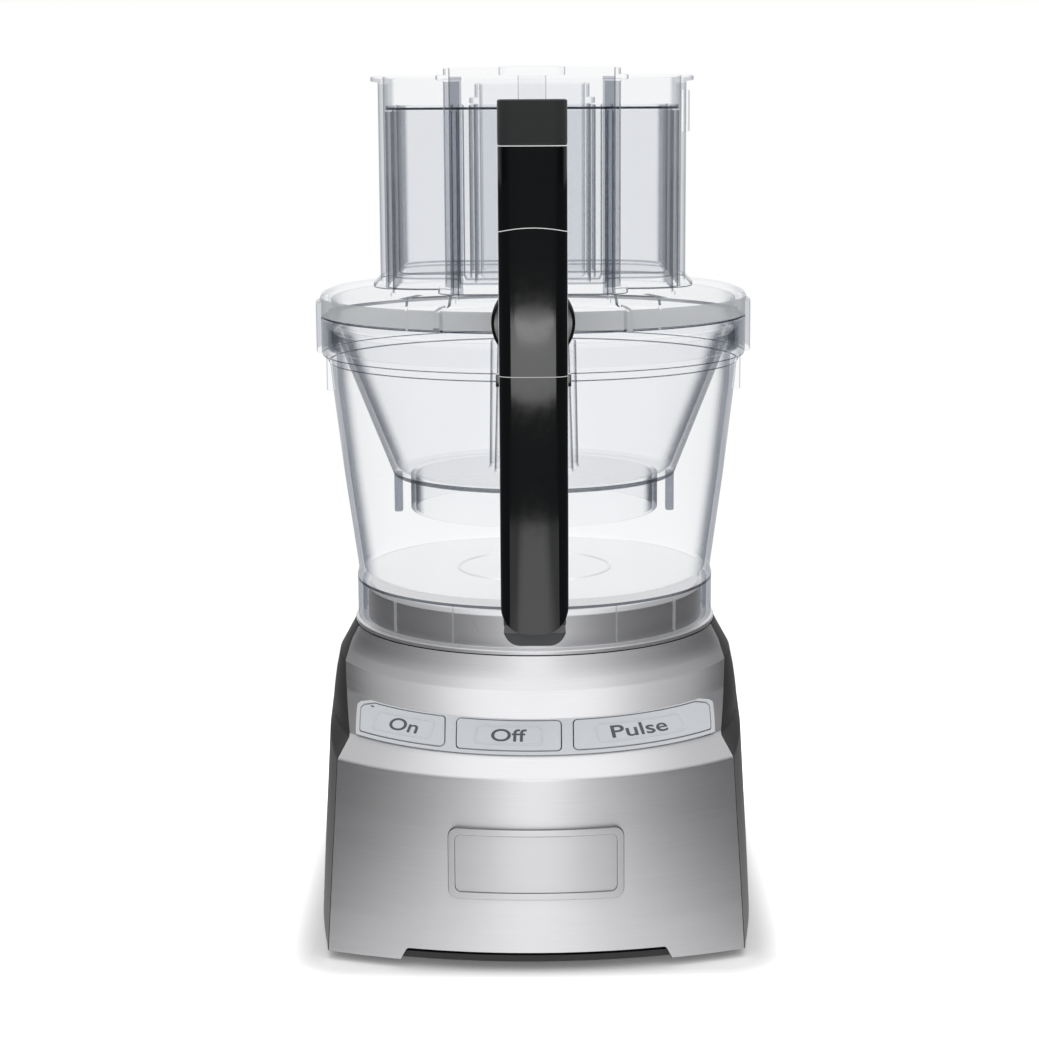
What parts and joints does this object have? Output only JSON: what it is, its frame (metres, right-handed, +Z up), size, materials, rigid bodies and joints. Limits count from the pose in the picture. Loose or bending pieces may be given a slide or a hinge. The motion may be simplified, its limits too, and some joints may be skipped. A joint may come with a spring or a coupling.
{
  "type": "food processor",
  "caption": "Food processor with a steel-faced motor base, three press keys, nested clear work bowls, clear lid, wide feed tube, sliding sleeve and pushers, and a black front handle.",
  "frame": {"origin": "on the floor under the bowl and motor axis, the centre of the footprint", "axes": "+Z up, -Y towards the front with the keys and the handle, +X to the right seen from the front"},
  "size_m": [0.212, 0.284, 0.4039],
  "materials": {
    "brushed_steel": "horizontal brushed grain",
    "dark_plastic": "fine moulded texture",
    "black_gloss": "polished moulded",
    "charcoal": "satin moulded",
    "key_grey": "satin moulded",
    "clear_plastic": "clear polished, moulded",
    "rubber": "matte",
    "cast_alloy": "as cast",
    "gear_steel": "ground",
    "laminated_iron": "varnished stack"
  },
  "bodies": {
    "base": {"front_cover": "brushed_steel", "rear_housing": "dark_plastic", "base_plate": "dark_plastic", "bowl_platform": "brushed_steel", "control_panel": "key_grey", "badge_plate": "brushed_steel", "cord_gland": "rubber", "foot_front_left": "rubber", "foot_front_right": "rubber", "foot_rear_left": "rubber", "foot_rear_right": "rubber", "ring_gear": "cast_alloy", "motor_frame": "cast_alloy", "motor_stator": "laminated_iron"},
    "on_key": {"on_button": "key_grey"},
    "off_key": {"off_button": "key_grey"},
    "pulse_key": {"pulse_button": "key_grey"},
    "rotor": {"rotor_shaft": "gear_steel", "rotor_core": "cast_alloy", "cooling_fan": "dark_plastic"},
    "carrier": {"planet_carrier": "gear_steel", "drive_shaft": "gear_steel"},
    "planet_1": {"planet_gear_1": "gear_steel"},
    "planet_2": {"planet_gear_2": "gear_steel"},
    "planet_3": {"planet_gear_3": "gear_steel"},
    "bowl": {"work_bowl": "clear_plastic", "bowl_handle": "black_gloss", "handle_foot": "clear_plastic"},
    "second_bowl": {"inner_bowl": "clear_plastic"},
    "cover": {"lid": "clear_plastic", "lid_handle": "black_gloss"},
    "tube_sleeve": {"sleeve": "clear_plastic", "sleeve_handle": "black_gloss"},
    "lock": {"pusher_lock": "charcoal"},
    "pusher": {"large_pusher": "clear_plastic"},
    "inner_pusher": {"small_pusher": "clear_plastic"}
  },
  "joints": [
    {"name": "on_press", "type": "slide", "parent": "base", "child": "on_key", "axis": [0.4575, 0.6171, -0.6402], "range_m": [0, 0.0008], "stiffness_N_per_m": 600, "springref_m": -0.001},
    {"name": "off_press", "type": "slide", "parent": "base", "child": "off_key", "axis": [0.0896, 0.763, -0.6402], "range_m": [0, 0.0008], "stiffness_N_per_m": 600, "springref_m": -0.001},
    {"name": "pulse_press", "type": "slide", "parent": "base", "child": "pulse_key", "axis": [-0.3819, 0.6666, -0.6402], "range_m": [0, 0.0008], "stiffness_N_per_m": 600, "springref_m": -0.001},
    {"name": "rotor_spin", "type": "hinge", "parent": "base", "child": "rotor", "pos_m": [0, 0, 0.05], "axis": [0, 0, 1], "continuous": true},
    {"name": "carrier_spin", "type": "hinge", "parent": "base", "child": "carrier", "pos_m": [0, 0, 0.106], "axis": [0, 0, 1], "continuous": true},
    {"name": "planet_1_spin", "type": "hinge", "parent": "carrier", "child": "planet_1", "pos_m": [0, 0.01875, 0.097], "axis": [0, 0, 1], "continuous": true},
    {"name": "planet_2_spin", "type": "hinge", "parent": "carrier", "child": "planet_2", "pos_m": [-0.01624, -0.00937, 0.097], "axis": [0, 0, 1], "continuous": true},
    {"name": "planet_3_spin", "type": "hinge", "parent": "carrier", "child": "planet_3", "pos_m": [0.01624, -0.00937, 0.097], "axis": [0, 0, 1], "continuous": true},
    {"name": "bowl_lift", "type": "slide", "parent": "base", "child": "bowl", "axis": [0, 0, 1], "range_m": [0, 0.12]},
    {"name": "inner_bowl_lift", "type": "slide", "parent": "bowl", "child": "second_bowl", "axis": [0, 0, 1], "range_m": [0, 0.105]},
    {"name": "lid_lift", "type": "slide", "parent": "second_bowl", "child": "cover", "axis": [0, 0, 1], "range_m": [0, 0.04]},
    {"name": "sleeve_lift", "type": "slide", "parent": "cover", "child": "tube_sleeve", "axis": [0, 0, 1], "range_m": [0, 0.09]},
    {"name": "lock_slide", "type": "slide", "parent": "tube_sleeve", "child": "lock", "axis": [0, 1, 0], "range_m": [0, 0.006]},
    {"name": "pusher_lift", "type": "slide", "parent": "tube_sleeve", "child": "pusher", "axis": [0, 0, 1], "range_m": [0, 0.085]},
    {"name": "small_pusher_lift", "type": "slide", "parent": "pusher", "child": "inner_pusher", "axis": [0, 0, 1], "range_m": [0, 0.085]}
  ],
  "couplings": [
    {"joint": "carrier_spin", "follows": "rotor_spin", "ratio": 0.2},
    {"joint": "planet_1_spin", "follows": "rotor_spin", "ratio": -0.53333},
    {"joint": "planet_2_spin", "follows": "rotor_spin", "ratio": -0.53333},
    {"joint": "planet_3_spin", "follows": "rotor_spin", "ratio": -0.53333}
  ]
}
